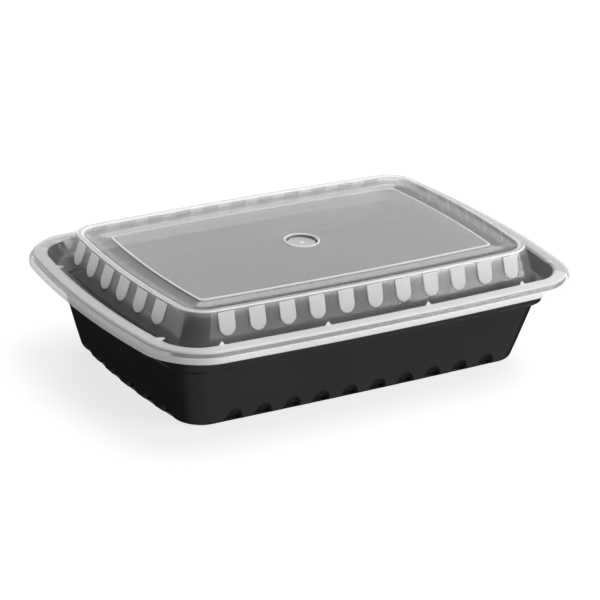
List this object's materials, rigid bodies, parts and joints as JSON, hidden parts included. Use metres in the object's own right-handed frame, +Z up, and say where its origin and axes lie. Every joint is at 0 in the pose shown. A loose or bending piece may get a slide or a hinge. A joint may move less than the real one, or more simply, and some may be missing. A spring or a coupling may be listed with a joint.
{
  "type": "takeaway meal container",
  "caption": "Shallow rectangular black plastic tray with a stepped band and recesses along its foot, shut by a clear press-on lid with a domed, ribbed top; empty.",
  "frame": {"origin": "middle of the footprint, on the surface that the tray stands on", "axes": "+X along the length, +Y along the width, +Z up through the lid"},
  "size_m": [0.222, 0.1528, 0.0538],
  "materials": {
    "black_plastic": "smooth, half gloss",
    "clear_plastic": "see-through, slightly milky"
  },
  "bodies": {
    "root": {"tray": "black_plastic", "lid": "clear_plastic"}
  },
  "joints": []
}
